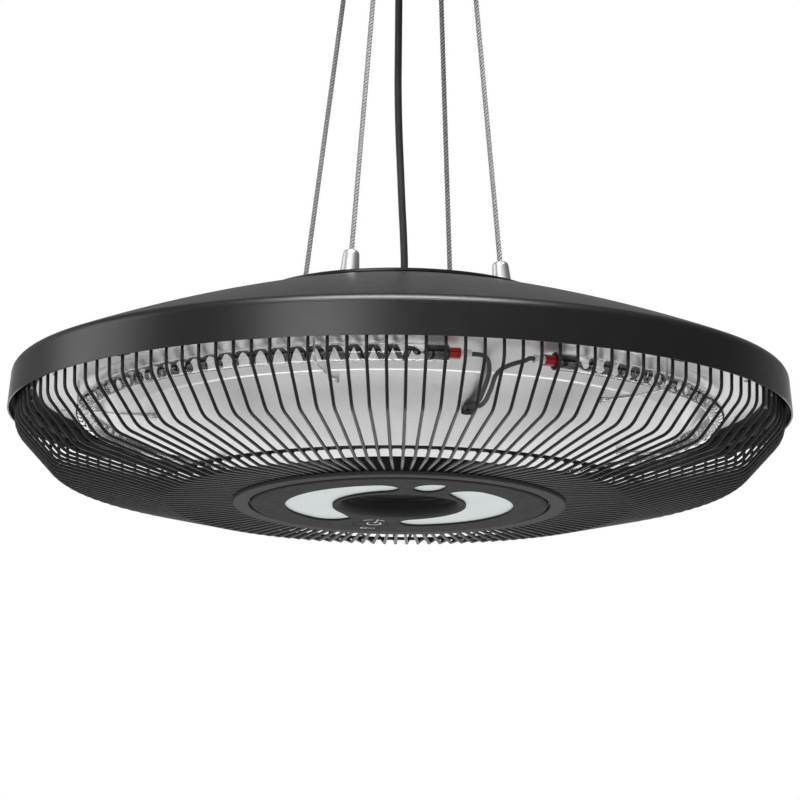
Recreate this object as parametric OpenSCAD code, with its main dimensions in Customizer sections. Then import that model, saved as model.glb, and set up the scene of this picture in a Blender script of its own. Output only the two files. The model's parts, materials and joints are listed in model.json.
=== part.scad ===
// Round infrared heater that hangs from the ceiling on four wire ropes.
// Millimetres, +Z up. The origin is the centre of the ceiling plate's top face.
// The heater below it is drawn from the lower edge of its rim, which is its own Z = 0.

/* [Hanging] */
// Height from the ceiling down to the rim of the casing
hang = 393; // [360:1:600]
// How far the heater hangs to one side of the ceiling plate's centre
hang_offset = 4; // [0:1:10]
// Diameter of each wire rope
rope_d = 4; // [3:0.5:5]
// Distance of the ropes from the axis at the heater
rope_r_low = 86.5; // [80:0.5:95]
// Distance of the ropes from the axis at the ceiling
rope_r_high = 53; // [50:0.5:58]
// Compass angle of the first rope
rope_turn = -27; // [-40:1:-15]
// Diameter of a ferrule's barrel at its foot
ferrule_foot_d = 15.2; // [13:0.1:17]
// Diameter of a ferrule's barrel at its shoulder
ferrule_d = 12.6; // [9:0.1:13]
// Length of a ferrule
ferrule_h = 21; // [18:1:26]
// Diameter of the mains cord
cord_d = 5.7; // [5:0.1:6.5]

/* [Ceiling canopy] */
// Diameter of the canopy's cover
canopy_d = 150; // [144:1:180]
// Depth of the canopy from the ceiling
canopy_h = 28; // [24:1:40]
// Sheet thickness of the cover
cover_t = 1.2; // [0.8:0.1:2]
// Thickness of the ceiling plate
ceiling_plate_t = 3; // [2:0.5:4]
// Pitch circle of the ceiling screws
ceiling_pcd = 124; // [122:1:126]
// Diameter of the holes for the ceiling screws
ceiling_hole_d = 5.5; // [4.5:0.5:6]
// Diameter of the hole for the supply cable
cable_hole_d = 20; // [14:1:24]

/* [Casing] */
// Outer radius of the rim
rim_r = 300.2; // [296:0.1:330]
// Height of the upright band, up to where the dome's line meets it
band_h = 30.6; // [28:0.1:36]
// How much the band draws in from the rim to the dome
band_draft = 3.2; // [1:0.1:6]
// Radius of the rounded shoulder
shoulder_r = 9; // [4:0.5:9]
// Radius of the dome's top edge
crown_r = 112; // [108:0.5:120]
// Height of the dome's top edge above the rim
crown_h = 88.1; // [84:0.1:110]
// Radius of the dome's slightly bulged side
dome_arc_r = 1350; // [900:50:4000]
// Sheet thickness of the casing
casing_t = 1.2; // [0.8:0.1:1.6]
// Radius of the opening in the dome's flat crown
crown_hole_r = 60; // [50:1:66]
// Radius of the mounting plate on top
top_plate_r = 110; // [104:0.5:112]
// Thickness of the mounting plate on top
top_plate_t = 2.1; // [1.5:0.1:3]
// Height of the shadow gap beneath the mounting plate
shadow_gap = 1.2; // [0.8:0.1:2]

/* [Inner frame] */
// Height of the chassis ring above the rim
chassis_z = 16; // [15:0.5:18]
// Width of the lap between the chassis ring and the reflector's flange
reflector_lap = 16; // [12:0.5:18]
// Sheet thickness of the chassis ring and its bridge
chassis_t = 1.2; // [1:0.1:2]
// Height of the chassis ring's upturned edge
chassis_lip = 9; // [6:0.5:11]
// Width of the bridge across the chassis ring
bridge_w = 70; // [60:1:90]
// Length, width and height of the control housing
control_size = [130, 64, 30];
// Wall of the control housing
control_wall = 2; // [1.5:0.1:3]

/* [Reflector] */
// Sheet thickness of the reflector
reflector_t = 0.9; // [0.6:0.1:1.2]
// Distance from the tube's ring to the reflector's flat middle
plateau_inset = 24; // [22:0.5:28]
// Run of the trough's sloping wall
trough_run = 26; // [24:0.5:30]
// Depth of the trough from the middle to the flange
trough_h = 24; // [22:0.5:26]
// Radius of the bends in the reflector
reflector_bend = 5; // [2:0.5:8]

/* [Heating tube] */
// Distance from the chassis ring's opening to the ring that the tube is bent to
tube_inset = 21; // [19:0.5:23]
// Outer diameter of the glass tube
glass_d = 13.8; // [12.5:0.1:14.5]
// Bore of the glass tube
glass_bore = 12.1; // [11.9:0.1:12.3]
// Height of the tube's centre above the reflector's flat middle
tube_lift = 8.45; // [8:0.05:9.5]
// Compass angle where the glass begins
glass_from = -62; // [-65:0.1:-58]
// Arc that the glass covers
glass_arc = 340.3; // [335:0.1:342]
// Length of the dark metal terminal inside each end of the glass
terminal_l = 15.6; // [10:0.1:20]
// Length of the red seal outside each end of the glass
seal_l = 8.8; // [5:0.1:12]
// Diameter of the red seal
seal_d = 8.4; // [7:0.1:10]
// Length of the white ceramic tip beyond each seal
tip_l = 8; // [5:0.1:11]
// Diameter of the white ceramic tip
tip_d = 6.6; // [5:0.1:8]
// Diameter of the sleeved leads
lead_d = 3.4; // [2.8:0.1:3.6]

/* [Filament] */
// Curls of the filament
coil_turns = 93; // [60:1:95]
// Mean radius of the filament's curls
coil_r = 5.1; // [4:0.05:5.15]
// Width of the filament's ribbon
ribbon_w = 3.6; // [2:0.1:5]
// Thickness of the filament's ribbon
ribbon_t = 0.8; // [0.5:0.1:1]

/* [Tube clips] */
// Diameter of the clip wire
clip_wire_d = 1.6; // [1.2:0.1:1.8]
// Distance from the edge of the reflector's flat middle to the clip screws
clip_screw_inset = 25; // [20:0.5:32]
// Half angles of the three pairs of clips, from the gap between the tube's ends
clip_angles = [33.75, 97.5, 152.5];
// Compass angle of the gap between the tube's ends
tube_gap_angle = -71; // [-75:0.1:-68]

/* [Guard] */
// Diameter of the guard wires
wire_d = 2.5; // [2:0.1:2.8]
// Number of guard wires, in multiples of eight
wire_count = 128; // [96:8:136]
// Turn of the first wire from the near side
wire_turn = 0.8; // [0:0.1:2.8]
// Gap between the casing's band and the guard wires
guard_gap = 4.85; // [3:0.05:8]
// Height of the wires' ends above the rim
wire_top = 9; // [7:0.5:10]
// Drop from the rim to the wires' first bend
neck_drop = 13.8; // [10:0.1:18]
// Inset and drop of the wires' outer corner
haunch = [28.85, 46.2];
// Radius and drop of the wires' lowest corner
belly = [178, 67.8];
// Rise of the wires from their lowest corner to the flange
tail_rise = 1.5; // [0.5:0.1:3]
// Radii of the three bends of a wire
wire_bends = [14, 20, 12];
// Radius of the hoop that ties the wires
hoop_r = 191.5; // [186:0.5:220]
// Diameter of the hoop
hoop_d = 2.6; // [2:0.1:4]
// Diameter of the hoop at the wires' upper ends
top_hoop_d = 3; // [2.5:0.1:4]
// Height of the upper hoop above the rim
top_hoop_z = 6; // [5.5:0.5:7]
// Gap left for the weld between a wire and what it is welded to
weld_gap = 0.05; // [0.03:0.01:0.1]

/* [Control head] */
// Outer radius of the flange that the wires meet
flange_r = 127; // [124:0.5:132]
// Radius of the flange's opening
flange_hole_r = 115.3; // [114.5:0.1:116]
// Thickness of the flange
flange_t = 2.6; // [2:0.1:4]
// Height of the pan above the flange
pan_h = 14.1; // [13:0.1:20]
// Sheet thickness of the pan
pan_t = 1.2; // [0.8:0.1:1.6]
// Width of the pan's lip on the flange
pan_lip = 4; // [3.5:0.1:4.5]
// Gap around the front panel
panel_gap = 2; // [1.5:0.1:2.5]
// How far the front panel stands below the flange
panel_proud = 0.8; // [0:0.1:1.5]
// Thickness of the front panel
panel_t = 1.6; // [1.2:0.1:2.2]
// Radius of the recess in the middle of the panel
bowl_r = 43.8; // [40:0.1:45]
// Radius of the recess's rounded lip
bowl_lip = 6; // [3:0.5:6]
// Depth of the recess
bowl_depth = 12.6; // [11:0.1:13]
// Thickness of the light diffuser
diffuser_t = 2; // [1.5:0.1:2.5]

/* [Button] */
// Place of the button's centre on the panel
button_at = [-22.2, 77];
// Radius of the button
button_r = 13.4; // [12:0.1:13.6]
// Travel of the button
button_travel = 1.2; // [0.8:0.1:1.3]
// Gap around the button and beside what it slides past
slide_gap = 0.3; // [0.2:0.05:0.5]
// Curls of the button's spring
spring_turns = 4; // [3:1:5]

/* [Hidden] */

$fn = 64;
// Facets of the widest round pieces
wide_fn = 240;
// Gap between pieces that touch in the real product
seat = 0.05;
// Loose fit between a round piece and the hole that it stands in
fit = 0.3;
// Overlap of a wire's straight runs into its bends
run_overlap = 0.2;
// Extra diameter of a wire's bends over its straight runs
bend_swell = 0.04;

// Colours as photographed
paint = [0.30, 0.30, 0.31];
panel_grey = [0.26, 0.26, 0.26];
near_black = [0.10, 0.10, 0.10];
wire_grey = [0.22, 0.22, 0.23];
steel = [0.72, 0.73, 0.74];
bright = [0.80, 0.80, 0.80];
pale = [0.82, 0.86, 0.86];
red = [0.55, 0.08, 0.10];
white = [0.93, 0.93, 0.92];

// Heights of the heater's pieces above its rim
crown_top = crown_h;
plate_low = crown_top + shadow_gap;
plate_top = plate_low + top_plate_t;
chassis_top = chassis_z + chassis_t;
flange_under = chassis_z - seat - reflector_t;
plateau_z = flange_under - trough_h;
tube_z = plateau_z + tube_lift;
bridge_top = chassis_top + seat + chassis_t;

// Height of the canopy's underside above the heater's rim
canopy_low = hang - canopy_h;

// Inner radius of the casing's band at height z above the rim
function band_inner(z) = rim_r - band_draft * z / band_h - casing_t;
chassis_r = band_inner(chassis_top + chassis_lip) - fit;
guard_r = band_inner(0) - guard_gap - wire_d / 2;

// Straps that hang the guard from the chassis ring, and the pieces inside them
bracket_t = 1.5;
bracket_foot = 8;
bracket_r = guard_r - wire_d / 2 - weld_gap - top_hoop_d - fit;
bracket_screw_r = bracket_r - bracket_t - bracket_foot / 2;
reflector_gap = 0.8;
reflector_r = bracket_r - bracket_t - bracket_foot - reflector_gap;
chassis_hole_r = reflector_r - reflector_lap;
tube_ring_r = chassis_hole_r - tube_inset;
plateau_r = tube_ring_r - plateau_inset;
clip_screw_r = plateau_r - clip_screw_inset;

// Heights in the control head
flange_top = -belly[1] + tail_rise - wire_d / 2 - weld_gap;
flange_low = flange_top - flange_t;
panel_low = flange_low - panel_proud;
panel_back = panel_low + panel_t;
pan_top = flange_top + pan_h;
panel_r = flange_hole_r - panel_gap;
pan_r = flange_hole_r - fit;
board_t = 1.6;
board_low = panel_back + 10.9;
diffuser_low = panel_back + seat;
diffuser_r = 104;

// Radii of the button's parts and heights above its face
button_flange_r = button_r + 1.8;
button_top = panel_low + 4.6;
guide_bore = button_flange_r + slide_gap;
guide_wall = 1.5;
stem_h = 2.1;
switch_h = board_low - (button_top + stem_h + button_travel + slide_gap);

function unit(v) = v / norm(v);
function polar(r, a) = [r * cos(a), r * sin(a)];
function flipped(v) = [for (i = [len(v) - 1:-1:0]) v[i]];

// Angle inside corner i of a bent line
function corner_angle(pts, i) = acos(unit(pts[i - 1] - pts[i]) * unit(pts[i + 1] - pts[i]));
// How far the rounding of corner i reaches along the straight runs
function corner_reach(pts, radii, i) =
    (i == 0 || i == len(pts) - 1) ? 0 : radii[i] / tan(corner_angle(pts, i) / 2);
// Centre of the rounding of corner i
function corner_centre(pts, radii, i) =
    let(a = unit(pts[i - 1] - pts[i]), b = unit(pts[i + 1] - pts[i]))
    pts[i] + unit(a + b) * radii[i] / sin(corner_angle(pts, i) / 2);
// Start angle and sweep of the rounding of corner i
function corner_sweep(pts, radii, i) =
    let(c = corner_centre(pts, radii, i),
        reach = corner_reach(pts, radii, i),
        p = pts[i] + unit(pts[i - 1] - pts[i]) * reach - c,
        q = pts[i] + unit(pts[i + 1] - pts[i]) * reach - c,
        from = atan2(p[1], p[0]),
        turn = atan2(q[1], q[0]) - from)
    [from, turn > 180 ? turn - 360 : turn < -180 ? turn + 360 : turn];
// The bent line with its corners rounded in `steps` steps
function rounded(pts, radii, steps = 6) = [
    for (i = [0:len(pts) - 1])
        each (i == 0 || i == len(pts) - 1 || radii[i] == 0) ? [pts[i]] :
            let(c = corner_centre(pts, radii, i), s = corner_sweep(pts, radii, i))
            [for (k = [0:steps]) c + polar(radii[i], s[0] + s[1] * k / steps)]
];
// Unit vector to the left of the way from p to q
function left_of(p, q) = let(d = unit(q - p)) [-d[1], d[0]];
// The bent line moved to its left by t
function shifted(pts, t) = let(last = len(pts) - 1) [
    for (i = [0:last])
        let(before = left_of(pts[max(i - 1, 0)], pts[max(i, 1)]),
            after = left_of(pts[min(i, last - 1)], pts[min(i + 1, last)]),
            mid = unit(before + after))
        pts[i] + mid * t / (mid * before)
];
// Points between p and q on an arc of radius r that bulges to the right of the way
function bulged(p, q, r, steps) =
    let(mid = (p + q) / 2,
        half = norm(q - p) / 2,
        c = mid + left_of(p, q) * sqrt(r * r - half * half),
        from = atan2(p[1] - c[1], p[0] - c[0]),
        turn = 2 * asin(half / r))
    [for (k = [0:steps]) c + polar(r, from + turn * k / steps)];

// A sheet of thickness t turned about the axis, its line given from the outside
module turned_sheet(line, t) {
    rotate_extrude($fn = wide_fn) polygon(concat(line, flipped(shifted(line, t))));
}

// A flat ring between two radii, from z upwards
module flat_ring(outer, inner, z, t, fn = wide_fn) {
    translate([0, 0, z]) difference() {
        cylinder(r = outer, h = t, $fn = fn);
        translate([0, 0, -1]) cylinder(r = inner, h = t + 2, $fn = fn);
    }
}

// A hoop of round wire
module wire_hoop(r, d, z) {
    translate([0, 0, z]) rotate_extrude($fn = wide_fn) translate([r, 0]) circle(d = d, $fn = 24);
}

// A round wire bent in the XZ plane along a line with rounded corners
module bent_wire(pts, radii, d) {
    last = len(pts) - 1;
    for (i = [0:last - 1]) {
        dir = unit(pts[i + 1] - pts[i]);
        low = i == 0 ? 0 : corner_reach(pts, radii, i) - run_overlap;
        high = i == last - 1 ? 0 : corner_reach(pts, radii, i + 1) - run_overlap;
        start = pts[i] + dir * low;
        translate([start[0], 0, start[1]]) rotate([0, atan2(dir[0], dir[1]), 0])
            cylinder(d = d, h = norm(pts[i + 1] - pts[i]) - low - high, $fn = 24);
    }
    for (i = [1:last - 1]) {
        c = corner_centre(pts, radii, i);
        s = corner_sweep(pts, radii, i);
        translate([c[0], 0, c[1]]) rotate([90, 0, 0]) rotate([0, 0, min(s[0], s[0] + s[1])])
            rotate_extrude(angle = abs(s[1]), $fn = 96)
                translate([radii[i], 0]) circle(d = d + bend_swell, $fn = 24);
    }
}

// Faces of a tube made of rings of `sides` points each, with closed ends
function tube_faces(rings, sides) = concat(
    [for (i = [0:rings - 2], k = [0:sides - 1], half = [0, 1])
        let(a = i * sides + k,
            b = i * sides + (k + 1) % sides,
            c = (i + 1) * sides + (k + 1) % sides,
            d = (i + 1) * sides + k)
        half == 0 ? [a, d, c] : [a, c, b]],
    [for (k = [1:sides - 2]) [0, k, k + 1]],
    [for (k = [1:sides - 2]) let(base = (rings - 1) * sides) [base, base + k + 1, base + k]]);
// Direction of a route at point i
function heading(pts, i) = unit(pts[min(i + 1, len(pts) - 1)] - pts[max(i - 1, 0)]);
// Ring of points round point i of a route
function route_ring(pts, i, r, sides, ref) =
    let(t = heading(pts, i), u = unit(cross(ref, t)), v = cross(t, u))
    [for (k = [0:sides - 1]) pts[i] + r * (cos(360 * k / sides) * u + sin(360 * k / sides) * v)];
// A round tube swept along a route
module swept_tube(pts, d, ref, sides = 8) {
    rings = [for (i = [0:len(pts) - 1]) each route_ring(pts, i, d / 2, sides, ref)];
    polyhedron(points = rings, faces = tube_faces(len(pts), sides), convexity = 10);
}

// A pan-head screw whose head's underside is at z = 0 and whose shank points up
module pan_screw(head_d, head_h, shank_d, shank_h) {
    rotate_extrude($fn = 32) polygon(concat(
        [[0, shank_h], [shank_d / 2, shank_h], [shank_d / 2, 0], [head_d / 2, 0]],
        [for (a = [0:15:90]) [head_d / 2 - head_h * 0.8 * (1 - cos(a)), -head_h * 0.2 - head_h * 0.8 * sin(a)]],
        [[0, -head_h]]));
}

// Places its children on the heater, whose rim is z = 0
module on_heater() {
    translate([-hang_offset, 0, -hang]) children();
}
// Places its children at each of the four ropes' compass angles
module at_ropes() {
    for (i = [0:3]) rotate([0, 0, rope_turn + 90 * i]) children();
}

// Ends of rope i, and the way from its foot to its head
function rope_foot(i) = [each polar(rope_r_low, rope_turn + 90 * i) + [-hang_offset, 0], plate_top - hang];
function rope_head(i) = [each polar(rope_r_high, rope_turn + 90 * i), -canopy_h];
function rope_way(i) = unit(rope_head(i) - rope_foot(i));
function rope_from(i) = rope_foot(i) + rope_way(i) * ferrule_h;
function rope_to(i) = rope_head(i) - rope_way(i) * ferrule_h;

// Turns its children from +Z to a given way
module along(way) {
    rotate([0, acos(way[2]), atan2(way[1], way[0])]) children();
}

// A ferrule's barrel, which leans with its rope: a slight cone with a rounded nose, its foot lifted so
// that its low edge stands `seat` above the plate
module ferrule_barrel(lean) {
    nose_h = 4;
    mouth_r = rope_d / 2 + 0.1;
    foot_at = (ferrule_foot_d / 2 * sin(lean) + seat) / cos(lean);
    rotate_extrude($fn = 40) polygon(concat(
        [[0, foot_at], [ferrule_foot_d / 2, foot_at]],
        [for (a = [0:15:75]) [mouth_r + (ferrule_d / 2 - mouth_r) * cos(a), ferrule_h - nose_h * (1 - sin(a))]],
        [[mouth_r, ferrule_h], [0, ferrule_h]]));
}
// The barrel and the collar round its foot
module ferrule(way) {
    along(way) ferrule_barrel(acos(way[2]));
    flat_ring(ferrule_foot_d / 2 + 2, ferrule_foot_d / 2 + 0.4, seat, 2.2, 48);
}

module ceiling_plate() {
    color(steel) difference() {
        translate([0, 0, -ceiling_plate_t]) cylinder(d = canopy_d - 2 * cover_t - 1, h = ceiling_plate_t);
        for (a = [0:90:270]) rotate([0, 0, a + 45])
            translate([ceiling_pcd / 2, 0, -ceiling_plate_t - 1])
                cylinder(d = ceiling_hole_d, h = ceiling_plate_t + 2);
        translate([0, 0, -ceiling_plate_t - 1]) cylinder(d = cable_hole_d, h = ceiling_plate_t + 2);
    }
}

canopy_wall_r = canopy_d / 2;
gland_x = -2 * hang_offset;
module canopy_cover() {
    line = rounded([[0, -canopy_h], [canopy_wall_r, -canopy_h], [canopy_wall_r, -0.5]], [0, 6, 0]);
    color(paint) difference() {
        turned_sheet(line, cover_t);
        at_ropes() translate([rope_r_high, 0, -canopy_h - 1]) cylinder(d = 4.4, h = cover_t + 2);
        translate([gland_x, 0, -canopy_h - 1]) cylinder(d = 10.4, h = cover_t + 2);
    }
}

// Posts that the canopy's ferrules clamp the cover against
module canopy_posts() {
    color(steel) at_ropes() translate([rope_r_high, 0, -canopy_h + cover_t + seat])
        cylinder(d = 10, h = canopy_h - cover_t - ceiling_plate_t - 2 * seat);
}

// A tapered strain relief with its lock nut inside the sheet, pointing up from z = 0
module strain_relief(sheet_t, length) {
    rotate_extrude($fn = 40) polygon([
        [0, -sheet_t - 4], [7.5, -sheet_t - 4], [7.5, -sheet_t - seat], [5, -sheet_t - seat],
        [5, seat], [9, seat], [9, 5], [7, 6.5], [cord_d / 2 + 1.2, length], [0, length]]);
}
relief_h = 22;
module canopy_gland() {
    color(near_black) translate([gland_x, 0, -canopy_h]) mirror([0, 0, 1]) strain_relief(cover_t, relief_h);
}
cord_x_low = 2.2;
module cord_gland() {
    color(near_black) on_heater() translate([cord_x_low, 0, plate_top])
        strain_relief(top_plate_t, relief_h);
}

module upper_ferrules() {
    color(steel) for (i = [0:3]) translate(rope_head(i))
        mirror([0, 0, 1]) ferrule([-rope_way(i)[0], -rope_way(i)[1], rope_way(i)[2]]);
}
module lower_ferrules() {
    color(steel) for (i = [0:3]) translate(rope_foot(i)) ferrule(rope_way(i));
}

// One taut rope between the ends of its ferrules
module rope(i) {
    color(steel) swept_tube([rope_from(i) + rope_way(i) * seat, rope_to(i) - rope_way(i) * seat],
        rope_d, [1, 0, 0]);
}

// Route of the mains cord: sideways place and height above the heater's rim
cord_route = [[2.2, 112.8], [2.2, 119], [1.9, 127], [1.5, 136], [1, 146], [0.4, 156], [-0.2, 167],
    [-0.8, 179], [-1.4, 191], [-2, 203], [-2.6, 215], [-3.1, 227], [-3.5, 239], [-3.8, 251],
    [-4, 264], [-4, 277], [-4, 290], [-4, 303], [-4, 316], [-4, 329], [-4, 336], [-4, 343]];
module mains_cord() {
    ends_at = canopy_low - relief_h;
    starts_at = plate_top + relief_h;
    span = cord_route[len(cord_route) - 1][1] - cord_route[0][1];
    rise = (ends_at - starts_at) / span;
    color(near_black) swept_tube([for (p = cord_route)
        [p[0] - hang_offset, 0, starts_at + (p[1] - cord_route[0][1]) * rise - hang]],
        cord_d, [1, 0, 0]);
}

module top_plate() {
    color(paint) on_heater() difference() {
        rotate_extrude($fn = wide_fn) polygon([
            [0, plate_low], [top_plate_r, plate_low], [top_plate_r, plate_top - 0.5],
            [top_plate_r - 0.5, plate_top], [0, plate_top]]);
        translate([cord_x_low, 0, plate_low - 1]) cylinder(d = 10.4, h = top_plate_t + 2);
        at_plate_screws() translate([0, 0, plate_low - 1]) cylinder(d = 4.4, h = top_plate_t + 2);
    }
}
plate_screw_r = 75;
module at_plate_screws() {
    for (a = [0:90:270]) rotate([0, 0, a + rope_turn + 45]) translate([plate_screw_r, 0, 0]) children();
}
module top_plate_screws() {
    under = top_plate_t + shadow_gap + casing_t;
    color(steel) on_heater() at_plate_screws() translate([0, 0, plate_top + seat]) mirror([0, 0, 1])
        pan_screw(8, 2.4, 4, under + 6);
}
module crown_gasket() {
    color(near_black) on_heater() difference() {
        flat_ring(top_plate_r - 4, crown_hole_r + 4, crown_top + seat, shadow_gap - 2 * seat);
        at_plate_screws() cylinder(d = 4.4, h = plate_top + 20);
    }
}

dome_foot = [rim_r - band_draft, band_h];
dome_head = [crown_r, crown_h];
module dome_casing() {
    side = bulged(dome_foot, dome_head, dome_arc_r, 18);
    line = concat([[rim_r, 0]], side, [[crown_hole_r, crown_h]]);
    last = len(line) - 1;
    radii = [for (i = [0:last]) i == 1 ? shoulder_r : i == last - 1 ? 1.6 : 0];
    color(paint) on_heater() difference() {
        turned_sheet(rounded(line, radii, 10), casing_t);
        at_plate_screws() cylinder(d = 4.4, h = plate_top + 20);
    }
}

bridge_screw_d = 4;
bridge_screw_r = reflector_r + bridge_screw_d;
bracket_screw_d = 3;
rivet_r = (chassis_hole_r + reflector_r) / 2;
// Chassis ring with an edge turned up against the casing's band
module chassis_ring() {
    lean = band_draft / band_h;
    low_r = chassis_r + lean * (chassis_lip + chassis_t);
    line = rounded([[chassis_hole_r, chassis_z], [low_r, chassis_z], [chassis_r, chassis_top + chassis_lip]],
        [0, 2, 0]);
    color(near_black) on_heater() difference() {
        turned_sheet(line, chassis_t);
        at_rivets() cylinder(d = 3.4, h = chassis_top + 2);
        at_brackets() translate([bracket_screw_r, 0, 0])
            cylinder(d = bracket_screw_d + 0.4, h = chassis_top + 2);
        at_bridge_screws() cylinder(d = bridge_screw_d + 0.4, h = chassis_top + 2);
    }
}
module at_rivets() {
    for (a = [15:30:345]) rotate([0, 0, a]) translate([rivet_r, 0, 0]) children();
}
module at_brackets() {
    for (a = [45:90:315]) rotate([0, 0, a]) children();
}
module at_bridge_screws() {
    for (side = [0, 180], y = [-1, 1]) rotate([0, 0, side])
        translate([bridge_screw_r, y * (bridge_w / 2 - 10), 0]) children();
}

bridge_half = chassis_r - 6;
standoff_r = 90;
// Bridge across the chassis ring that carries the controls and the reflector's middle
module support_bridge() {
    color(steel) on_heater() difference() {
        translate([0, 0, chassis_top + seat]) linear_extrude(chassis_t) intersection() {
            square([2 * bridge_half + 2, bridge_w], center = true);
            circle(r = bridge_half, $fn = wide_fn);
        }
        at_bridge_screws() cylinder(d = bridge_screw_d + 0.4, h = bridge_top + 2);
        at_standoffs() translate([0, 0, 1]) cylinder(d = 4.4, h = bridge_top + 2);
    }
}
module at_standoffs() {
    for (x = [-1, 1], y = [-1, 1]) translate([x * standoff_r, y * (bridge_w / 2 - 12), 0]) children();
}
module bridge_screws() {
    color(steel) on_heater() at_bridge_screws() translate([0, 0, bridge_top + seat]) mirror([0, 0, 1])
        pan_screw(7.5, 2.4, bridge_screw_d, 2 * chassis_t + 3);
}
// Posts between the bridge and the reflector's flat middle, each with a stud through the bridge
module bridge_standoffs() {
    low = plateau_z + reflector_t + seat;
    high = chassis_top;
    color(steel) on_heater() at_standoffs() union() {
        translate([0, 0, low]) cylinder(d = 8, h = high - low, $fn = 6);
        translate([0, 0, high - 1]) cylinder(d = 4, h = chassis_t + 5);
    }
}

control_z = bridge_top + seat;
// Open box on the bridge that holds the board and the terminal block
module control_housing() {
    color(near_black) on_heater() translate([-control_size[0] / 2, -control_size[1] / 2, control_z])
        difference() {
            cube(control_size);
            translate([control_wall, control_wall, control_wall])
                cube([control_size[0] - 2 * control_wall, control_size[1] - 2 * control_wall, control_size[2]]);
            // Cable entries at both ends
            for (x = [-1, control_size[0] - control_wall - 1])
                translate([x, control_size[1] / 2, control_size[2] * 0.65]) rotate([0, 90, 0])
                    cylinder(d = 9, h = control_wall + 2);
        }
}
module control_lid() {
    lid_t = 2;
    color(near_black) on_heater() union() {
        translate([-control_size[0] / 2, -control_size[1] / 2, control_z + control_size[2] + seat])
            cube([control_size[0], control_size[1], lid_t]);
        inset = control_wall + fit;
        translate([-control_size[0] / 2 + inset, -control_size[1] / 2 + inset,
            control_z + control_size[2] - 3])
            difference() {
                cube([control_size[0] - 2 * inset, control_size[1] - 2 * inset, 4]);
                translate([2, 2, -1])
                    cube([control_size[0] - 2 * inset - 4, control_size[1] - 2 * inset - 4, 4]);
            }
    }
}
board_lift = 4;
// Board with its relay, capacitor and four feet
module control_board() {
    size = [78, 52, 1.6];
    color("darkgreen") on_heater() translate([-52, -size[1] / 2, control_z + control_wall + seat]) union() {
        translate([0, 0, board_lift]) cube(size);
        for (x = [4, size[0] - 4], y = [4, size[1] - 4])
            translate([x, y, 0]) cylinder(d = 5, h = board_lift + 0.5);
        translate([10, 8, board_lift + 1]) cube([19, 15.5, 16]);
        translate([40, 36, board_lift + 1]) cylinder(d = 12, h = 15);
    }
}
// Three-way block for the mains cord
module terminal_block() {
    size = [18, 44, 16];
    color(white) on_heater() translate([36, -size[1] / 2, control_z + control_wall + seat]) difference() {
        cube(size);
        for (y = [8:14:36]) {
            translate([-1, y, 7]) rotate([0, 90, 0]) cylinder(d = 5, h = size[0] + 2);
            translate([size[0] / 2, y, 7]) cylinder(d = 4.5, h = size[2]);
        }
    }
}

grommet_at = [51, -72];
grommet_bore = 7.6;
function clip_azimuths() = [for (a = clip_angles, s = [-1, 1]) tube_gap_angle + s * a];
module reflector() {
    foot = plateau_r + trough_run;
    line = rounded([[0, plateau_z], [plateau_r, plateau_z], [foot, flange_under], [reflector_r, flange_under]],
        [0, reflector_bend, reflector_bend, 0]);
    color(bright) on_heater() difference() {
        turned_sheet(line, reflector_t);
        at_rivets() translate([0, 0, flange_under - 1]) cylinder(d = 3.4, h = reflector_t + 2);
        at_clips() translate([clip_screw_r, 0, plateau_z - 1]) cylinder(d = 3.4, h = reflector_t + 2);
        translate([grommet_at[0], grommet_at[1], plateau_z - 1])
            cylinder(d = grommet_bore, h = reflector_t + 2);
    }
}
module reflector_rivets() {
    grip = reflector_t + chassis_t + seat;
    color(steel) on_heater() at_rivets() translate([0, 0, chassis_top + seat]) mirror([0, 0, 1]) {
        pan_screw(6, 1.5, 3, grip + 1);
    }
}

// Turns its children, drawn at +X, round the tube's ring to a compass angle
module on_ring(azimuth) {
    rotate([0, 0, azimuth]) children();
}
// A stretch of round rod bent to the tube's ring
module ring_rod(from, arc, d, bore = 0) {
    on_ring(from) translate([0, 0, tube_z]) rotate_extrude(angle = arc, $fn = wide_fn)
        translate([tube_ring_r, 0]) difference() {
            circle(d = d, $fn = 48);
            if (bore > 0) circle(d = bore, $fn = 48);
        }
}
glass_to = glass_from + glass_arc;
// Arc on the tube's ring that a real length covers
function arc_of(length) = length / tube_ring_r * 180 / PI;
seat_arc = arc_of(seat);
terminal_arc = arc_of(terminal_l);
seal_arc = arc_of(seal_l);
tip_arc = arc_of(tip_l);

module quartz_tube() {
    color([0.8, 0.85, 0.9, 0.4]) on_heater() ring_rod(glass_from, glass_arc, glass_d, glass_bore);
}
module tube_terminals() {
    plug_d = glass_bore - 2 * seat;
    color(near_black) on_heater() {
        ring_rod(glass_from, terminal_arc, plug_d);
        ring_rod(glass_to - terminal_arc, terminal_arc, plug_d);
    }
}
module end_seals() {
    color(red) on_heater() {
        ring_rod(glass_from - seal_arc - seat_arc, seal_arc, seal_d);
        ring_rod(glass_to + seat_arc, seal_arc, seal_d);
    }
}
tip_from = glass_from - seal_arc - tip_arc - 2 * seat_arc;
tip_to = glass_to + seal_arc + 2 * seat_arc;
module ceramic_tips() {
    color(white) on_heater() {
        ring_rod(tip_from, tip_arc, tip_d);
        ring_rod(tip_to, tip_arc, tip_d);
    }
}

coil_steps = 8;
coil_sides = 6;
coil_rings = coil_turns * coil_steps;
coil_from = glass_from + terminal_arc + seat_arc;
coil_to = glass_to - terminal_arc - seat_arc;
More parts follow.
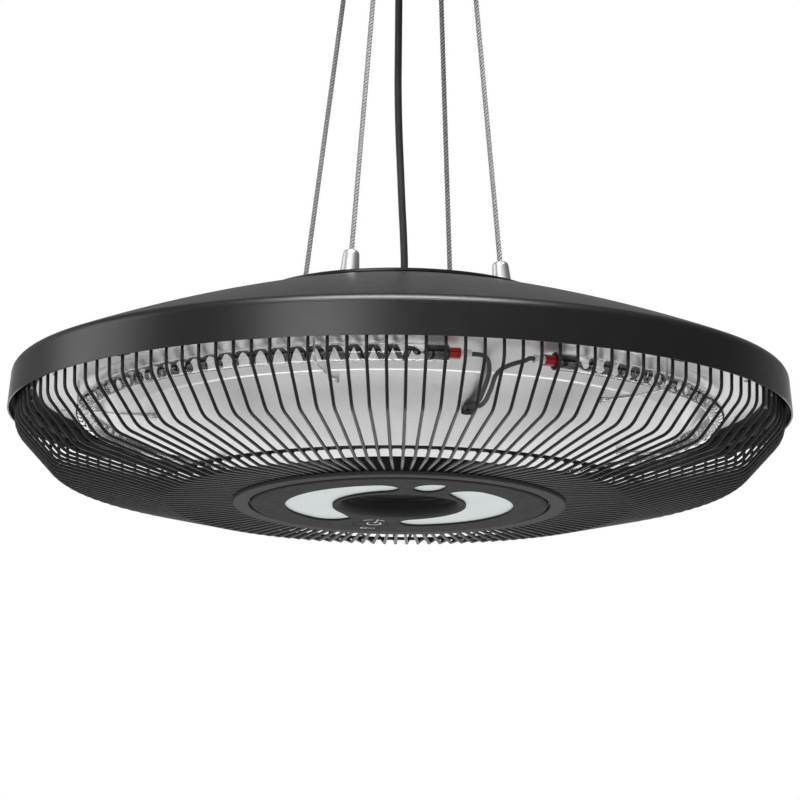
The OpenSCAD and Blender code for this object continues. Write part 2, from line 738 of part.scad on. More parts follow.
// Rings at each end that run straight into the terminal, and rings in which the curls open
coil_straight = 2;
coil_opening = 6;
function coil_share(i) = i / (coil_rings - 1);
function coil_azimuth(i) = coil_from + (coil_to - coil_from) * coil_share(i);
function coil_spread(i) =
    coil_r * min(1, max(0, min(i, coil_rings - 1 - i) - coil_straight + 1) / coil_opening);
function coil_point(i) =
    let(a = coil_azimuth(i), out = tube_ring_r + coil_spread(i) * cos(360 * i / coil_steps))
    [each polar(out, a), tube_z + coil_spread(i) * sin(360 * i / coil_steps)];
function coil_out(i) =
    let(a = coil_azimuth(i), turn = 360 * i / coil_steps)
    [cos(turn) * cos(a), cos(turn) * sin(a), sin(turn)];
function coil_way(i) =
    min(i, coil_rings - 1 - i) < coil_straight ?
        [-sin(coil_azimuth(i)), cos(coil_azimuth(i)), 0] :
        unit(coil_point(i + 1) - coil_point(i - 1));
// Six corners of the ribbon's section: flat, with its broad faces inwards and outwards
function coil_ring(i) =
    let(t = coil_way(i), side = unit(cross(t, coil_out(i))), out = cross(side, t), p = coil_point(i))
    [for (c = [[0.5, 0], [0.3, 0.5], [-0.3, 0.5], [-0.5, 0], [-0.3, -0.5], [0.3, -0.5]])
        p + side * ribbon_w * c[0] + out * ribbon_t * c[1]];
module filament_coil() {
    rings = [for (i = [0:coil_rings - 1]) coil_ring(i)];
    gap = min([for (i = [0:coil_rings - coil_steps - 3], j = [i + coil_steps - 2:i + coil_steps + 2],
        p = rings[i], q = rings[j]) norm(p - q)]);
    echo(least_gap_between_curls = gap);
    color([0.25, 0.23, 0.22]) on_heater()
        polyhedron(points = [for (r = rings) each r], faces = tube_faces(coil_rings, coil_sides),
            convexity = 10);
}

// Routes of the two leads on the heater, from the ceramic tip to the grommet's nose
lead_route_left = [[56.5, -234.2, -0.5], [61, -232.5, -1.2], [64, -228.5, -3.8],
    [65, -222.5, -7], [65, -216, -10.5], [64, -208, -13.6], [62.8, -199, -15.8], [61.8, -190, -17],
    [61, -180, -17.6], [60.2, -170, -17.9], [59.5, -160, -17.8], [58.7, -150, -17.4],
    [57.9, -140, -16.7], [57, -130, -15.8], [55.8, -120, -14.7], [54.2, -110, -13.6], [52.2, -101, -12.3],
    [50.4, -93, -11.3], [49.3, -87, -10.9]];
lead_route_right = [[91.5, -222.8, -2.4], [85, -225.6, -4.8], [78.5, -227, -7.4], [73.5, -226.6, -10.2],
    [70.2, -224, -13.4], [68.4, -219, -16.8], [67.4, -212, -19.2], [66.5, -204, -20.6],
    [65.5, -195, -21.2], [64.8, -186, -21.4], [64.2, -177, -21.4], [63.5, -168, -21.2],
    [62.8, -159, -20.7], [62.1, -150, -19.8], [61.4, -141, -18.8], [60.6, -132, -17.8],
    [59.6, -122, -16.4], [58.4, -112, -14.7], [56.6, -102, -12.8], [54.5, -94, -11.4], [53, -87, -10.9]];
lead_spread = 3.6;
nose_d = lead_d + 0.4;
nose_z = plateau_z - seat - nose_d / 2;
nose_end = -83.5;
// Point on the tube's ring at a compass angle
function ring_point(a) = [each polar(tube_ring_r, a), tube_z];
function ring_way(a) = [-sin(a), cos(a), 0];
module lead(route, tip_angle, way, x_end) {
    start = ring_point(tip_angle) + way * seat;
    color(near_black) on_heater() swept_tube(concat([start, start + way * 3.5], route,
        [[x_end, nose_end - 3.5, nose_z], [x_end, nose_end - seat, nose_z]]), lead_d, [0, 0, 1]);
}
module lead_left() {
    lead(lead_route_left, tip_to + tip_arc, ring_way(tip_to + tip_arc), grommet_at[0] - lead_spread / 2);
}
module lead_right() {
    lead(lead_route_right, tip_from, -ring_way(tip_from), grommet_at[0] + lead_spread / 2);
}
// Bush that takes both leads through the reflector, with a flat nose for them at its near side
module lead_grommet() {
    collar_r = grommet_bore / 2 + 1.2;
    low = nose_z - nose_d / 2 - 0.1;
    edge = 1.2;
    neck_r = grommet_bore / 2 - seat;
    back = plateau_z + reflector_t + seat;
    color(near_black) on_heater() translate([grommet_at[0], grommet_at[1], 0]) union() {
        rotate_extrude() polygon(concat(
            [[0, low]],
            [for (a = [0:15:90]) [collar_r - edge * (1 - sin(a)), low + edge * (1 - cos(a))]],
            [[collar_r, plateau_z - seat], [neck_r, plateau_z - seat], [neck_r, back],
             [collar_r + 0.8, back], [collar_r + 0.8, back + 3], [0, back + 3]]));
        translate([0, nose_end - grommet_at[1], nose_z]) rotate([-90, 0, 0])
            linear_extrude(grommet_at[1] - nose_end) hull() {
                translate([-lead_spread / 2, 0]) circle(d = nose_d, $fn = 32);
                translate([lead_spread / 2, 0]) circle(d = nose_d, $fn = 32);
            }
    }
}

module at_clips() {
    for (a = clip_azimuths()) on_ring(a) children();
}
// A clip: an eye under its screw, a straight leg under the tube and a bend up round its far side
clip_under = glass_d / 2 + 0.1 + clip_wire_d / 2;
clip_low = plateau_z - seat - clip_wire_d / 2;
clip_eye_r = 3.2;
module tube_clips() {
    slope = 3.5;
    outer = tube_ring_r + clip_under;
    bend_at = plateau_r - 1;
    line = [[clip_screw_r + clip_eye_r, clip_low], [bend_at, clip_low],
        [outer, clip_low + (outer - bend_at) * tan(slope)], [outer, flange_under - fit]];
    color(steel) on_heater() at_clips() union() {
        translate([clip_screw_r, 0, clip_low]) rotate_extrude($fn = 48)
            translate([clip_eye_r, 0]) circle(d = clip_wire_d, $fn = 24);
        bent_wire(line, [0, 30, clip_under, 0], clip_wire_d);
    }
}
module clip_screws() {
    head_under = clip_low - clip_wire_d / 2 - seat;
    color(steel) on_heater() at_clips() translate([clip_screw_r, 0, head_under])
        pan_screw(8.6, 2.4, 3, plateau_z + reflector_t + 5 - head_under);
}

// Line of a guard wire in its own upright plane, from the flange to the upper hoop
tail_r = flange_r - 7;
tail_slope = tail_rise / (belly[0] - flange_r);
wire_line = [[tail_r, -belly[1] + tail_slope * (belly[0] - tail_r)],
    [belly[0], -belly[1]],
    [guard_r - haunch[0], -haunch[1]],
    [guard_r, -neck_drop],
    [guard_r, wire_top]];
wire_radii = [0, wire_bends[2], wire_bends[1], wire_bends[0], 0];
wire_groups = 8;
// One eighth of the guard's wires
module guard_wires(group) {
    each_group = wire_count / wire_groups;
    pitch = 360 / wire_count;
    color(wire_grey) on_heater() for (k = [0:each_group - 1])
        rotate([0, 0, -90 + wire_turn + (group * each_group + k) * pitch])
            bent_wire(wire_line, wire_radii, wire_d);
}
// The hoop lies on the wires' inner side, between their outer and lowest corners
hoop_slope = atan((belly[1] - haunch[1]) / (guard_r - haunch[0] - belly[0]));
hoop_z = -belly[1] + (hoop_r - belly[0]) * tan(hoop_slope)
    + ((wire_d + hoop_d) / 2 + weld_gap) / cos(hoop_slope);
module guard_hoop() {
    color(wire_grey) on_heater() wire_hoop(hoop_r, hoop_d, hoop_z);
}
module guard_top_hoop() {
    color(wire_grey) on_heater()
        wire_hoop(guard_r - (wire_d + top_hoop_d) / 2 - weld_gap, top_hoop_d, top_hoop_z);
}
// Hooked straps that hang the guard's upper hoop from the chassis ring
module guard_brackets() {
    strap_w = 12;
    hook = top_hoop_d + 0.2;
    low = top_hoop_z - top_hoop_d / 2 - fit;
    high = chassis_z - seat;
    color(near_black) on_heater() at_brackets() difference() {
        translate([0, strap_w / 2, 0]) rotate([90, 0, 0]) linear_extrude(strap_w) polygon([
            [bracket_r - bracket_t - bracket_foot, high], [bracket_r, high], [bracket_r, low],
            [bracket_r + hook, low], [bracket_r + hook, low - bracket_t],
            [bracket_r - bracket_t, low - bracket_t], [bracket_r - bracket_t, high - bracket_t],
            [bracket_r - bracket_t - bracket_foot, high - bracket_t]]);
        translate([bracket_screw_r, 0, 0]) cylinder(d = bracket_screw_d + 0.4, h = high + 2);
    }
}
module guard_screws() {
    head_under = chassis_z - seat - bracket_t - seat;
    color(steel) on_heater() at_brackets() translate([bracket_screw_r, 0, head_under])
        pan_screw(6, 2, bracket_screw_d, bracket_t + chassis_t + 4);
}

module flange_ring() {
    edge = 0.8;
    color(paint) on_heater() difference() {
        rotate_extrude($fn = wide_fn) polygon([
            [flange_hole_r, flange_top], [flange_hole_r, flange_low + edge / 2],
            [flange_hole_r + edge / 2, flange_low], [flange_r - edge, flange_low],
            [flange_r, flange_low + edge], [flange_r, flange_top]]);
        at_pan_screws() translate([0, 0, flange_low + 0.8]) cylinder(d = 2.2, h = flange_t, $fn = 24);
    }
}
pan_screw_r = pan_r + pan_lip / 2;
module at_pan_screws() {
    for (a = [0:90:270]) rotate([0, 0, a + wire_turn + 180 / wire_count]) translate([pan_screw_r, 0, 0]) children();
}
module control_pan() {
    lip_z = flange_top + seat;
    bend = 3;
    outer = rounded([[0, pan_top], [pan_r, pan_top], [pan_r, lip_z + pan_t]], [0, bend, 0]);
    inner = rounded([[pan_r - pan_t, lip_z], [pan_r - pan_t, pan_top - pan_t], [0, pan_top - pan_t]],
        [0, bend - pan_t, 0]);
    boss_low = board_low + board_t + seat;
    color(near_black) on_heater() difference() {
        union() {
            rotate_extrude($fn = wide_fn) polygon(concat(outer,
                [[pan_r + pan_lip, lip_z + pan_t], [pan_r + pan_lip, lip_z]], inner));
            for (a = [0:60:300]) rotate([0, 0, a]) translate([board_boss_r, 0, boss_low])
                cylinder(d = 7, h = pan_top - pan_t + 0.5 - boss_low);
        }
        at_pan_screws() translate([0, 0, flange_top - 1]) cylinder(d = 2.6, h = pan_t + 3, $fn = 24);
    }
}
module pan_screws() {
    color(steel) on_heater() at_pan_screws() translate([0, 0, flange_top + pan_t + 2 * seat])
        mirror([0, 0, 1]) pan_screw(3.6, 1.4, 2, pan_t + 1.6);
}

// Outline of a light opening that sweeps round the recess: a hooked corner, an outer arc, a round
// nose and an inner edge that opens towards both ends
light_out_r = 87.3;
light_from = -55;
light_nose = 78;
light_hook_r = 16;
light_hook_angle = -43;
function light_in_r(a) = bowl_r + 7 + 6.5 * pow((a - 10) / 67, 2) + 7 * pow(max(0, -30 - a) / 25, 2);
function light_opening() =
    let(tip = polar(light_in_r(light_from), light_from),
        hook = polar(light_out_r - light_hook_r, light_hook_angle),
        hook_from = atan2(tip[1] - hook[1], tip[0] - hook[0]) + 360,
        hook_arc = light_hook_angle + 360 - hook_from,
        nose_r = (light_out_r - light_in_r(light_nose)) / 2,
        nose = polar(light_out_r - nose_r, light_nose))
    concat([for (k = [1:11]) hook + polar(light_hook_r, hook_from + hook_arc * k / 12)],
        [for (k = [0:24]) polar(light_out_r, light_hook_angle + (light_nose - light_hook_angle) * k / 24)],
        [for (k = [1:11]) nose + polar(nose_r, light_nose + 180 * k / 12)],
        [for (k = [0:28])
            let(a = light_nose + (light_from - light_nose) * k / 28) polar(light_in_r(a), a)]);
// Points along a cubic curve from p to s
function curve(p, q, r, s, steps) = [for (k = [0:steps - 1]) let(t = k / steps, u = 1 - t)
    p * u * u * u + q * 3 * u * u * t + r * 3 * u * t * t + s * t * t * t];
// Corners of the small leaf-shaped opening and how far its two sides bulge
leaf_near = [10, -70.5];
leaf_far = [36.4, -86];
function leaf_opening() = concat(
    curve(leaf_near, [12, -88], [24, -94], leaf_far, 12),
    curve(leaf_far, [34, -55], [16, -47], leaf_near, 16));

module front_panel() {
    tube_top = panel_low + bowl_lip + 1;
    rim_h = 5;
    line = rounded([[bowl_r, tube_top], [bowl_r, panel_low], [panel_r, panel_low], [panel_r, panel_back + rim_h]],
        [0, bowl_lip, panel_t + 0.4, 0]);
    color(panel_grey) on_heater() difference() {
        union() {
            turned_sheet(line, panel_t);
            translate([button_at[0], button_at[1], 0])
                flat_ring(guide_bore + guide_wall, guide_bore, panel_back - 0.2, 5.2, 64);
        }
        translate([0, 0, panel_low - 1]) {
            linear_extrude(panel_t + 2) polygon(light_opening());
            linear_extrude(panel_t + 2) rotate(180) polygon(light_opening());
            linear_extrude(panel_t + 2) polygon(leaf_opening());
            translate(button_at) cylinder(r = button_r + slide_gap, h = panel_t + 2);
        }
    }
}
module light_diffuser() {
    color(pale) on_heater() difference() {
        flat_ring(diffuser_r, bowl_r + bowl_lip + fit, diffuser_low, diffuser_t);
        translate([button_at[0], button_at[1], diffuser_low - 1])
            cylinder(r = guide_bore + guide_wall + fit, h = diffuser_t + 2);
    }
}
board_boss_r = 96;
module led_board() {
    color(white) on_heater() difference() {
        flat_ring(diffuser_r - 3, bowl_r + 3.4, board_low, board_t);
        for (a = [0:60:300]) rotate([0, 0, a]) translate([board_boss_r, 0, board_low - 1])
            cylinder(d = 2.4, h = board_t + 2, $fn = 24);
    }
}
module led_chips() {
    chip = [3, 3, 0.7];
    color([0.95, 0.9, 0.6]) on_heater() for (a = [0:30:330], r = [bowl_r + 16.2, diffuser_r - 20])
        rotate([0, 0, a]) translate([r, 0, board_low - seat - chip[2] / 2]) cube(chip, center = true);
}
module centre_bowl() {
    sheet = 1.2;
    floor_z = panel_low + bowl_depth;
    foot_z = panel_low + bowl_lip + 1 + seat;
    line = rounded([[0, floor_z], [bowl_r - 2, floor_z], [bowl_r, foot_z], [bowl_r + 2.2, foot_z]], [0, 3, 0, 0]);
    color(near_black) on_heater() turned_sheet(line, sheet);
}

button_edge = 0.5;
stem_r = 3;
module power_button() {
    flange_low_z = panel_back + slide_gap;
    flange_high_z = flange_low_z + 1.2;
    color(panel_grey) on_heater() translate([button_at[0], button_at[1], 0]) rotate_extrude(convexity = 4)
        polygon([[0, panel_low], [button_r - button_edge, panel_low], [button_r, panel_low + button_edge],
            [button_r, flange_low_z], [button_flange_r, flange_low_z], [button_flange_r, flange_high_z],
            [button_r, flange_high_z], [button_r, button_top], [stem_r, button_top],
            [stem_r, button_top + stem_h], [0, button_top + stem_h]]);
}
spring_r = 5.6;
spring_wire = 0.8;
spring_steps = 12;
module button_spring() {
    low = button_top + slide_gap / 2 + spring_wire / 2;
    high = board_low - seat - spring_wire / 2;
    rings = spring_turns * spring_steps;
    route = [for (i = [0:rings]) [each polar(spring_r, 360 * i / spring_steps), low + (high - low) * i / rings]];
    echo(least_gap_in_button_spring = (high - low) / spring_turns - spring_wire);
    color(steel) on_heater() translate([button_at[0], button_at[1], 0])
        swept_tube(route, spring_wire, [0, 0, 1], 6);
}
module push_switch() {
    plunger_h = 1;
    size = 6;
    color(near_black) on_heater() translate([button_at[0], button_at[1], 0]) union() {
        translate([-size / 2, -size / 2, board_low - seat - switch_h + plunger_h])
            cube([size, size, switch_h - plunger_h]);
        translate([0, 0, board_low - seat - switch_h]) cylinder(d = 3.5, h = plunger_h + 0.5, $fn = 24);
    }
}

ceiling_plate();
canopy_cover();
canopy_posts();
canopy_gland();
upper_ferrules();
rope(0);  // rope_1
rope(1);  // rope_2
rope(2);  // rope_3
rope(3);  // rope_4
mains_cord();
lower_ferrules();
cord_gland();
top_plate();
crown_gasket();
top_plate_screws();
dome_casing();
chassis_ring();
support_bridge();
bridge_screws();
bridge_standoffs();
control_housing();
control_lid();
control_board();
terminal_block();
reflector();
reflector_rivets();
quartz_tube();
filament_coil();
tube_terminals();
end_seals();
ceramic_tips();
lead_left();
lead_right();
lead_grommet();
tube_clips();
clip_screws();
guard_wires(0);  // guard_wires_1
guard_wires(1);  // guard_wires_2
guard_wires(2);  // guard_wires_3
guard_wires(3);  // guard_wires_4
guard_wires(4);  // guard_wires_5
guard_wires(5);  // guard_wires_6
guard_wires(6);  // guard_wires_7
guard_wires(7);  // guard_wires_8
guard_hoop();
guard_top_hoop();
guard_brackets();
guard_screws();
flange_ring();
control_pan();
pan_screws();
front_panel();
light_diffuser();
led_board();
led_chips();
centre_bowl();
power_button();
button_spring();
push_switch();
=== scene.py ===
"""Infrared ceiling heater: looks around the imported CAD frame. Metres, +Z up, origin on the ceiling."""

import json
import math

import bpy
from mathutils import Matrix, Vector


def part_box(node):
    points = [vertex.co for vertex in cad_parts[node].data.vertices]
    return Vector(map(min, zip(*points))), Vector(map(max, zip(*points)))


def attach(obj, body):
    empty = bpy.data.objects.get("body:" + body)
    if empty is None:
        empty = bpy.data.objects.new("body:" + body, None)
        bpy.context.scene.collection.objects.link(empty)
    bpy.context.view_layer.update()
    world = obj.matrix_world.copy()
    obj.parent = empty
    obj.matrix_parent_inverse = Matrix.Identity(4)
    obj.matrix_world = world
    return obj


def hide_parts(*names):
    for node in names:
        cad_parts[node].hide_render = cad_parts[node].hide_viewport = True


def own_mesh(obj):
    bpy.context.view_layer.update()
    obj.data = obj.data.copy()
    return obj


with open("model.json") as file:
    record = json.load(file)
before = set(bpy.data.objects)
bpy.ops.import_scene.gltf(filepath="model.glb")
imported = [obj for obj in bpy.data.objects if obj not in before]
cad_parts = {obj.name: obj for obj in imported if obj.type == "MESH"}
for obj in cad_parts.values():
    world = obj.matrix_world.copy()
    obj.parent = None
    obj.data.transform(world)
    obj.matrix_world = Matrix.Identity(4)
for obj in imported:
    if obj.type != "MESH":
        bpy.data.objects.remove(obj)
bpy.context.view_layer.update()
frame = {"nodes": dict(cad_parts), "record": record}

# The heater's axis and its rim's height in the frame, in millimetres
AXIS_X = -4.0
RIM_Z = -393.0
TAU = 2 * math.pi
# Clearance between pieces that rest on each other
SEAT = 0.05


def place(x, y, z):
    """A point measured in millimetres from the heater's axis and rim, in the frame."""
    return Vector(((x + AXIS_X) / 1000, y / 1000, (z + RIM_Z) / 1000))


def polar(radius, degrees):
    return radius * math.cos(math.radians(degrees)), radius * math.sin(math.radians(degrees))


def linear(*rgb):
    """Eight-bit screen colours as linear light."""
    return tuple(
        (c / 255 / 12.92) if c <= 10 else ((c / 255 + 0.055) / 1.055) ** 2.4 for c in rgb
    ) + (1.0,)


# Camera: metres, radians and pixels of an 800 by 800 picture
VIEW_DISTANCE = 5.22896
VIEW_TILT = 0.1949
VIEW_ROLL = 0.0097
SENSOR = 36.0
FOCAL_PIXELS = 6838.4
PHOTO_SIZE = 800
SHIFT_PIXELS = 15.0
NEAR_CLIP, FAR_CLIP = 0.1, 100.0


def make_camera():
    data = bpy.data.cameras.new("camera")
    data.sensor_width = SENSOR
    data.lens = FOCAL_PIXELS * SENSOR / PHOTO_SIZE
    data.shift_x = 0.0
    data.shift_y = SHIFT_PIXELS / PHOTO_SIZE
    data.clip_start = NEAR_CLIP
    data.clip_end = FAR_CLIP
    cam = bpy.data.objects.new("camera", data)
    bpy.context.scene.collection.objects.link(cam)
    ce, se = math.cos(VIEW_TILT), math.sin(VIEW_TILT)
    cr, sr = math.cos(VIEW_ROLL), math.sin(VIEW_ROLL)
    right, up = Vector((1, 0, 0)), Vector((0, -se, ce))
    x_axis = right * cr + up * sr
    y_axis = up * cr - right * sr
    z_axis = -Vector((0, ce, se))
    cam.matrix_world = Matrix.Translation(place(0, 0, 0) + z_axis * VIEW_DISTANCE) @ Matrix(
        (x_axis, y_axis, z_axis)
    ).transposed().to_4x4()
    bpy.context.scene.camera = cam


make_camera()


def mesh_object(name, points, faces, attributes=None, smooth=True):
    mesh = bpy.data.meshes.new(name)
    mesh.from_pydata([tuple(p) for p in points], [], faces)
    mesh.update()
    for key, values in (attributes or {}).items():
        layer = mesh.attributes.new(key, "FLOAT", "POINT")
        layer.data.foreach_set("value", values)
    if smooth:
        mesh.polygons.foreach_set("use_smooth", [True] * len(mesh.polygons))
    obj = bpy.data.objects.new(name, mesh)
    bpy.context.scene.collection.objects.link(obj)
    return obj


def frames_along(route):
    """A direction and two cross axes at each point of a route, with no twist between them."""
    rows = []
    side = None
    for i, p in enumerate(route):
        ahead = (route[min(i + 1, len(route) - 1)] - route[max(i - 1, 0)]).normalized()
        if side is None:
            seed = Vector((1, 0, 0)) if abs(ahead.x) < 0.8 else Vector((0, 0, 1))
            side = ahead.cross(seed).normalized()
        side = (side - ahead * side.dot(ahead)).normalized()
        rows.append((p, ahead, side, ahead.cross(side)))
    return rows


def smooth_route(points, step):
    """Points close together on a smooth curve through the given ones."""
    out = []
    last = len(points) - 1
    for i in range(last):
        p0, p1, p2, p3 = (points[max(0, min(last, i + k))] for k in (-1, 0, 1, 2))
        n = max(1, round((p2 - p1).length / step))
        for k in range(n):
            t = k / n
            out.append(
                0.5
                * (
                    2 * p1
                    + (p2 - p0) * t
                    + (2 * p0 - 5 * p1 + 4 * p2 - p3) * t * t
                    + (3 * p1 - p0 - 3 * p2 + p3) * t**3
                )
            )
    out.append(points[last].copy())
    return out


def tube_parts(route, radius, sides, base=0):
    """Points, faces and attributes of a closed round tube on a route."""
    points, faces, along, around = [], [], [], []
    way = 0.0
    for i, (p, _ahead, u, v) in enumerate(frames_along(route)):
        if i:
            way += (p - route[i - 1]).length
        for k in range(sides):
            a = TAU * k / sides
            points.append(p + (u * math.cos(a) + v * math.sin(a)) * radius)
            along.append(way)
            around.append(k / sides)
    n = len(route)
    for i in range(n - 1):
        for k in range(sides):
            a, b = base + i * sides + k, base + i * sides + (k + 1) % sides
            faces.append((a, b, b + sides, a + sides))
    faces.append(tuple(base + k for k in reversed(range(sides))))
    faces.append(tuple(base + (n - 1) * sides + k for k in range(sides)))
    return points, faces, along, around


def tube_object(name, route, radius, sides):
    points, faces, along, around = tube_parts(route, radius, sides)
    return mesh_object(name, points, faces, {"along": along, "around": around})


# The part of a noise texture's range that most of its values lie in
NOISE_SPAN = 0.3, 0.7


class Surface:
    """A Principled material whose colour, roughness and bump come from nodes."""

    def __init__(self, name, roughness=0.5, metallic=0.0, specular=0.5):
        self.material = bpy.data.materials.new(name)
        self.material.use_nodes = True
        self.tree = self.material.node_tree
        self.shader = self.tree.nodes["Principled BSDF"]
        self.set("Roughness", roughness)
        self.set("Metallic", metallic)
        self.set("Specular IOR Level", specular)
        self.space = self.tree.nodes.new("ShaderNodeTexCoord").outputs["Object"]
        self.height = None
        self.tint = None
        self.gloss = None

    def set(self, socket, value):
        self.shader.inputs[socket].default_value = value

    def link(self, a, b):
        self.tree.links.new(a, b)

    def node(self, kind, **values):
        node = self.tree.nodes.new(kind)
        for key, value in values.items():
            setattr(node, key, value)
        return node

    def value(self, item, socket):
        """Links an output, or sets a number, on a socket."""
        if isinstance(item, bpy.types.NodeSocket):
            self.link(item, socket)
        else:
            socket.default_value = item

    def math(self, operation, a, b=0.0):
        node = self.node("ShaderNodeMath", operation=operation)
        self.value(a, node.inputs[0])
        self.value(b, node.inputs[1])
        return node.outputs[0]

    def attribute(self, name):
        return self.node("ShaderNodeAttribute", attribute_name=name).outputs["Fac"]

    def stretched(self, scale):
        """Object coordinates with a scale of their own on each axis."""
        node = self.node("ShaderNodeVectorMath", operation="MULTIPLY")
        self.link(self.space, node.inputs[0])
        node.inputs[1].default_value = scale
        return node.outputs[0]

    def noise(self, scale, detail=3.0, roughness=0.55, space=None):
        node = self.node("ShaderNodeTexNoise")
        self.link(space or self.space, node.inputs["Vector"])
        node.inputs["Scale"].default_value = scale
        node.inputs["Detail"].default_value = detail
        node.inputs["Roughness"].default_value = roughness
        return node.outputs["Fac"]

    def cells(self, scale):
        node = self.node("ShaderNodeTexVoronoi", feature="F1")
        self.link(self.space, node.inputs["Vector"])
        node.inputs["Scale"].default_value = scale
        return node.outputs["Distance"]

    def ramp(self, factor, stops):
        """A ramp of (position, colour) stops."""
        node = self.node("ShaderNodeValToRGB")
        self.link(factor, node.inputs["Fac"])
        elements = node.color_ramp.elements
        while len(elements) < len(stops):
            elements.new(0.5)
        for element, (position, colour) in zip(elements, stops):
            element.position = position
            element.color = colour
        return node.outputs["Color"]

    def mapped(self, factor, low, high, to_low, to_high):
        node = self.node("ShaderNodeMapRange")
        self.value(factor, node.inputs["Value"])
        for socket, number in zip(
            ("From Min", "From Max", "To Min", "To Max"), (low, high, to_low, to_high)
        ):
            node.inputs[socket].default_value = number
        return node.outputs["Result"]

    def mixed(self, factor, a, b):
        node = self.node("ShaderNodeMix", data_type="RGBA")
        self.value(factor, node.inputs[0])
        self.value(a, node.inputs[6])
        self.value(b, node.inputs[7])
        return node.outputs[2]

    def colour(self, item):
        self.tint = item
        self.value(item, self.shader.inputs["Base Color"])

    def rough(self, factor, low, high):
        """Roughness that follows a noise between two levels."""
        self.gloss = self.mapped(factor, *NOISE_SPAN, low, high)
        self.link(self.gloss, self.shader.inputs["Roughness"])

    def bump(self, height, distance):
        """Adds a bump of the given height in metres on top of the ones before it."""
        node = self.node("ShaderNodeBump")
        node.inputs["Distance"].default_value = distance
        node.inputs["Strength"].default_value = 1.0
        self.link(height, node.inputs["Height"])
        if self.height is not None:
            self.link(self.height, node.inputs["Normal"])
        self.height = node.outputs["Normal"]
        self.link(self.height, self.shader.inputs["Normal"])

    def varied(self, dark, light, scale):
        """Colour that drifts between two tones."""
        shade = self.ramp(self.noise(scale, 4), list(zip(NOISE_SPAN, (dark, light))))
        self.colour(shade)
        return shade


def painted(name, dark, light, roughness, specular, grain=900, depth=0.00003):
    """Powder-coated or painted metal: a drifting tone, a fine orange-peel bump and uneven gloss."""
    s = Surface(name, roughness, specular=specular)
    tone = s.varied(dark, light, 9)
    speck = s.noise(2600, 2)
    s.colour(s.mixed(s.mapped(speck, 0.35, 0.65, 0.0, 0.35), tone, light))
    s.rough(s.noise(70, 3), roughness - 0.02, roughness + 0.02)
    s.bump(s.noise(grain, 2), depth)
    return s


def metal(name, dark, light, low, high, stretch=(1, 1, 30), grain=800):
    """Bare or plated metal with fine turning or drawing lines along the stretch."""
    s = Surface(name, low, metallic=1.0)
    lines = s.noise(grain, 3, space=s.stretched(stretch))
    tone = s.varied(dark, light, 60)
    s.colour(s.mixed(s.mapped(lines, 0.35, 0.65, 0.0, 0.5), tone, light))
    s.rough(lines, low, high)
    s.bump(lines, 0.00001)
    return s


def plastic(name, dark, light, roughness, specular=0.4, grain=1800, depth=0.00002):
    """Moulded plastic or rubber with a fine spark-eroded grain."""
    s = Surface(name, roughness, specular=specular)
    s.varied(dark, light, 30)
    s.rough(s.noise(120, 3), roughness - 0.06, roughness + 0.06)
    s.bump(s.cells(grain), depth)
    return s


# The surfaces, by the name of their slot or of the finish
finish = {}
finish["casing_paint"] = painted(
    "casing_paint", linear(20, 20, 20), linear(23, 23, 22), 0.34, 0.5, 900, 0.00001
)
finish["flange_paint"] = painted("flange_paint", linear(62, 62, 62), linear(67, 67, 66), 0.6, 0.035)
finish["panel_plastic"] = plastic(
    "panel_plastic", linear(50, 50, 50), linear(54, 54, 53), 0.7, 0.04, 2600, 0.00001
)
finish["black_metal"] = painted("black_metal", linear(14, 14, 14), linear(20, 20, 20), 0.55, 0.2)
finish["guard_paint"] = painted(
    "guard_paint", linear(25, 25, 25), linear(31, 31, 31), 0.36, 0.25, 1400, 0.00001
)
finish["dark_plastic"] = plastic("dark_plastic", linear(9, 9, 9), linear(14, 14, 14), 0.4, 0.15)
finish["black_rubber"] = plastic(
    "black_rubber", linear(7, 7, 8), linear(13, 13, 14), 0.6, 0.2, 1500, 0.00003
)
finish["steel"] = metal("steel", linear(196, 197, 199), linear(214, 215, 217), 0.26, 0.36)
finish["fastener_steel"] = metal(
    "fastener_steel", linear(176, 177, 180), linear(202, 203, 206), 0.24, 0.38, (1, 1, 1), 500
)
finish["satin_nickel"] = metal(
    "satin_nickel", linear(206, 207, 209), linear(222, 223, 225), 0.36, 0.46, (1, 1, 1), 700
)
finish["clip_steel"] = metal("clip_steel", linear(196, 197, 199), linear(220, 221, 223), 0.22, 0.32)
finish["white_plastic"] = plastic(
    "white_plastic", linear(222, 222, 218), linear(234, 234, 231), 0.45
)
finish["white_ceramic"] = plastic(
    "white_ceramic", linear(226, 226, 223), linear(240, 240, 238), 0.3, 0.5, 900, 0.00002
)
finish["red_seal"] = plastic("red_seal", linear(158, 6, 12), linear(176, 14, 20), 0.22, 0.4, 700)
finish["board_green"] = plastic("board_green", linear(18, 78, 42), linear(28, 96, 54), 0.4)
finish["led"] = plastic("led", linear(238, 214, 120), linear(248, 232, 160), 0.3)


def diffuser():
    """Frosted plate: even, faintly cool, with a very fine frost."""
    s = Surface("diffuser", 0.42, specular=0.2)
    s.varied(linear(205, 212, 212), linear(214, 221, 221), 18)
    s.rough(s.noise(300, 2), 0.36, 0.48)
    s.bump(s.noise(3000, 2), 0.00001)
    return s


def reflector_sheet():
    """Bright rolled sheet: fine straight rolling lines and a soft, half-matt mirror."""
    s = Surface("reflector_sheet", 0.36, metallic=0.85, specular=0.5)
    lines = s.noise(300, 3, 0.6, s.stretched((1, 0.05, 1)))
    blotch = s.noise(6, 2)
    tone = s.ramp(blotch, [(0.3, linear(236, 236, 236)), (0.7, linear(241, 241, 241))])
    sheet = s.mixed(s.mapped(lines, 0.3, 0.7, 0.0, 0.5), tone, linear(244, 244, 244))
    s.colour(sheet)
    s.rough(lines, 0.34, 0.38)
    s.bump(lines, 0.000002)
    return s


